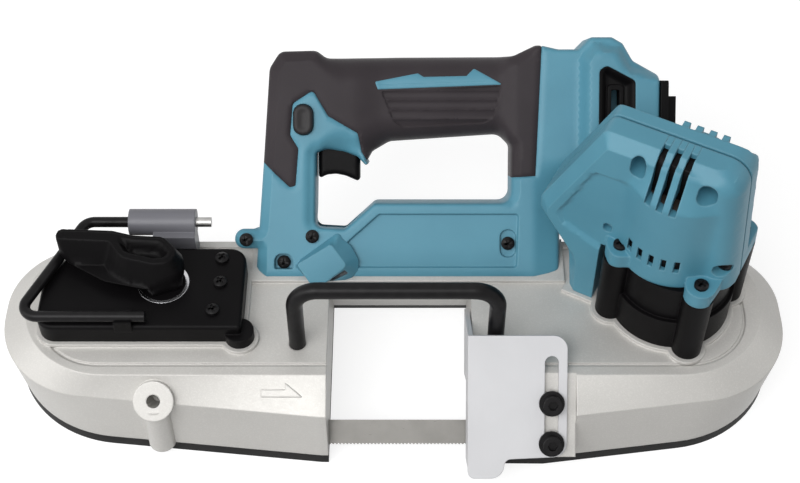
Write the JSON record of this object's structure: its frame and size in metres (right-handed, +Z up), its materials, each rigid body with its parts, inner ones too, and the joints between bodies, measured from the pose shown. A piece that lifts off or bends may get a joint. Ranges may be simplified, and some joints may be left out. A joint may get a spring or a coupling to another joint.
{
  "type": "portable band saw",
  "caption": "Cordless portable band saw lying on its side: open throat with toothed blade, sliding stop plate, guard rod, tension lever, hanging hook, leaning D-handle and motor.",
  "frame": {"origin": "middle of the bumper's back strip, on the plane the saw lies on", "axes": "+X along the saw towards the motor, +Y to the back, +Z up from the resting plane"},
  "size_m": [0.408, 0.22, 0.172],
  "materials": {
    "cast_silver": "satin",
    "black_rubber": "matte",
    "machined_steel": "satin",
    "blade_steel": "satin",
    "plate_steel": "satin",
    "wheel_alloy": "satin",
    "black_steel": "satin",
    "bright_steel": "polished",
    "spring_steel": "satin",
    "teal_plastic": "satin",
    "grip_rubber": "matte",
    "black_plastic": "satin",
    "grey_plastic": "satin",
    "button_plastic": "satin",
    "motor_core": "matte",
    "fan_plastic": "satin",
    "lens_clear": "gloss",
    "terminal_brass": "satin",
    "circuit_green": "satin"
  },
  "bodies": {
    "frame": {"frame_casting": "cast_silver", "rubber_bumper": "black_rubber", "saw_blade": "blade_steel", "guide_bracket_left": "machined_steel", "guide_bracket_right": "machined_steel", "stop_plate_bolts": "black_steel", "guard_rod": "black_steel", "tension_cover": "black_plastic", "lever_ring": "bright_steel", "tension_spring": "spring_steel", "hook_holder": "grey_plastic", "hook_pin": "machined_steel", "gear_housing": "black_plastic", "ring_gear": "machined_steel", "spindle_bearings": "machined_steel", "stator": "motor_core", "motor_bearings": "machined_steel", "motor_housing_front": "teal_plastic", "motor_housing_rear": "teal_plastic", "motor_screws": "black_steel", "handle_shell_front": "teal_plastic", "handle_shell_rear": "teal_plastic", "grip_front": "grip_rubber", "grip_rear": "grip_rubber", "switch": "black_plastic", "trigger_spring": "spring_steel", "controller_board": "circuit_green", "light_housing": "teal_plastic", "light_lens": "lens_clear", "slot_insert": "black_plastic", "battery_rail": "black_plastic", "battery_terminals": "terminal_brass", "body_screws": "black_steel", "cover_screws": "black_steel"},
    "drive": {"drive_wheel": "wheel_alloy", "drive_tyre": "black_rubber", "drive_spindle": "machined_steel"},
    "rotor": {"rotor": "motor_core", "motor_fan": "fan_plastic"},
    "planet_1": {"planet_gear_1": "machined_steel"},
    "planet_2": {"planet_gear_2": "machined_steel"},
    "planet_3": {"planet_gear_3": "machined_steel"},
    "carriage": {"idler_carriage": "machined_steel", "idler_axle": "machined_steel"},
    "idler": {"idler_wheel": "wheel_alloy", "idler_tyre": "black_rubber", "idler_bearings": "machined_steel"},
    "stop_plate": {"stop_plate": "plate_steel"},
    "lever": {"tension_lever": "black_plastic"},
    "hook": {"hanging_hook": "black_steel"},
    "trigger": {"trigger": "black_plastic"},
    "lock_button": {"lock_button": "button_plastic"},
    "face_roller_left_front": {"face_roller_left_front": "machined_steel"},
    "face_roller_left_rear": {"face_roller_left_rear": "machined_steel"},
    "face_roller_right_front": {"face_roller_right_front": "machined_steel"},
    "face_roller_right_rear": {"face_roller_right_rear": "machined_steel"},
    "backup_roller_left": {"backup_roller_left": "machined_steel"},
    "backup_roller_right": {"backup_roller_right": "machined_steel"}
  },
  "joints": [
    {"name": "drive_spin", "type": "hinge", "parent": "frame", "child": "drive", "pos_m": [0.143, -0.0431, 0.014], "axis": [0, 0, 1], "continuous": true},
    {"name": "rotor_spin", "type": "hinge", "parent": "frame", "child": "rotor", "pos_m": [0.143, -0.0431, 0.1], "axis": [0, 0, 1], "continuous": true},
    {"name": "planet_1_spin", "type": "hinge", "parent": "drive", "child": "planet_1", "pos_m": [0.1574, -0.0431, 0.0694], "axis": [0, 0, 1], "continuous": true},
    {"name": "planet_2_spin", "type": "hinge", "parent": "drive", "child": "planet_2", "pos_m": [0.1358, -0.03063, 0.0694], "axis": [0, 0, 1], "continuous": true},
    {"name": "planet_3_spin", "type": "hinge", "parent": "drive", "child": "planet_3", "pos_m": [0.1358, -0.05557, 0.0694], "axis": [0, 0, 1], "continuous": true},
    {"name": "carriage_slide", "type": "slide", "parent": "frame", "child": "carriage", "axis": [1, 0, 0], "range_m": [0, 0.008], "deforming": ["tension_spring"]},
    {"name": "idler_spin", "type": "hinge", "parent": "carriage", "child": "idler", "pos_m": [-0.143, -0.0431, 0.014], "axis": [0, 0, 1], "continuous": true},
    {"name": "face_roller_left_front_spin", "type": "hinge", "parent": "frame", "child": "face_roller_left_front", "pos_m": [-0.043, -0.09892, 0.01452], "axis": [0, 0.7071, 0.7071], "continuous": true},
    {"name": "face_roller_left_rear_spin", "type": "hinge", "parent": "frame", "child": "face_roller_left_rear", "pos_m": [-0.043, -0.09388, 0.00948], "axis": [0, 0.7071, 0.7071], "continuous": true},
    {"name": "face_roller_right_front_spin", "type": "hinge", "parent": "frame", "child": "face_roller_right_front", "pos_m": [0.0502, -0.09892, 0.01452], "axis": [0, 0.7071, 0.7071], "continuous": true},
    {"name": "face_roller_right_rear_spin", "type": "hinge", "parent": "frame", "child": "face_roller_right_rear", "pos_m": [0.0502, -0.09388, 0.00948], "axis": [0, 0.7071, 0.7071], "continuous": true},
    {"name": "backup_roller_left_spin", "type": "hinge", "parent": "frame", "child": "backup_roller_left", "pos_m": [-0.054, -0.08818, 0.02022], "axis": [0, -0.7071, 0.7071], "continuous": true},
    {"name": "backup_roller_right_spin", "type": "hinge", "parent": "frame", "child": "backup_roller_right", "pos_m": [0.0612, -0.08818, 0.02022], "axis": [0, -0.7071, 0.7071], "continuous": true},
    {"name": "lever_turn", "type": "hinge", "parent": "frame", "child": "lever", "pos_m": [-0.118, -0.0421, 0.075], "axis": [0, 0, 1], "range_deg": [0, 180]},
    {"name": "hook_swing", "type": "hinge", "parent": "frame", "child": "hook", "pos_m": [-0.12, -0.0041, 0.072], "axis": [-1, 0, 0], "range_deg": [0, 180]},
    {"name": "stop_plate_slide", "type": "slide", "parent": "frame", "child": "stop_plate", "axis": [0, -0.7071, -0.7071], "range_m": [0, 0.018]},
    {"name": "trigger_pull", "type": "slide", "parent": "frame", "child": "trigger", "axis": [0, 0.7071, 0.7071], "range_m": [0, 0.006], "stiffness_N_per_m": 400, "springref_m": -0.004, "deforming": ["trigger_spring"]},
    {"name": "lock_button_press", "type": "slide", "parent": "frame", "child": "lock_button", "axis": [0, 0.7071, -0.7071], "range_m": [0, 0.003], "stiffness_N_per_m": 400, "springref_m": -0.002}
  ],
  "couplings": [
    {"joint": "rotor_spin", "follows": "drive_spin", "ratio": 6},
    {"joint": "planet_1_spin", "follows": "drive_spin", "ratio": -2.5},
    {"joint": "planet_2_spin", "follows": "drive_spin", "ratio": -2.5},
    {"joint": "planet_3_spin", "follows": "drive_spin", "ratio": -2.5},
    {"joint": "lever_turn", "follows": "carriage_slide", "rad_per_m": 392.7},
    {"joint": "idler_spin", "follows": "drive_spin", "ratio": 1},
    {"joint": "face_roller_left_front_spin", "follows": "drive_spin", "ratio": -12.891},
    {"joint": "face_roller_left_rear_spin", "follows": "drive_spin", "ratio": 12.891},
    {"joint": "face_roller_right_front_spin", "follows": "drive_spin", "ratio": -12.891},
    {"joint": "face_roller_right_rear_spin", "follows": "drive_spin", "ratio": 12.891},
    {"joint": "backup_roller_left_spin", "follows": "drive_spin", "ratio": 8.25},
    {"joint": "backup_roller_right_spin", "follows": "drive_spin", "ratio": 8.25}
  ]
}
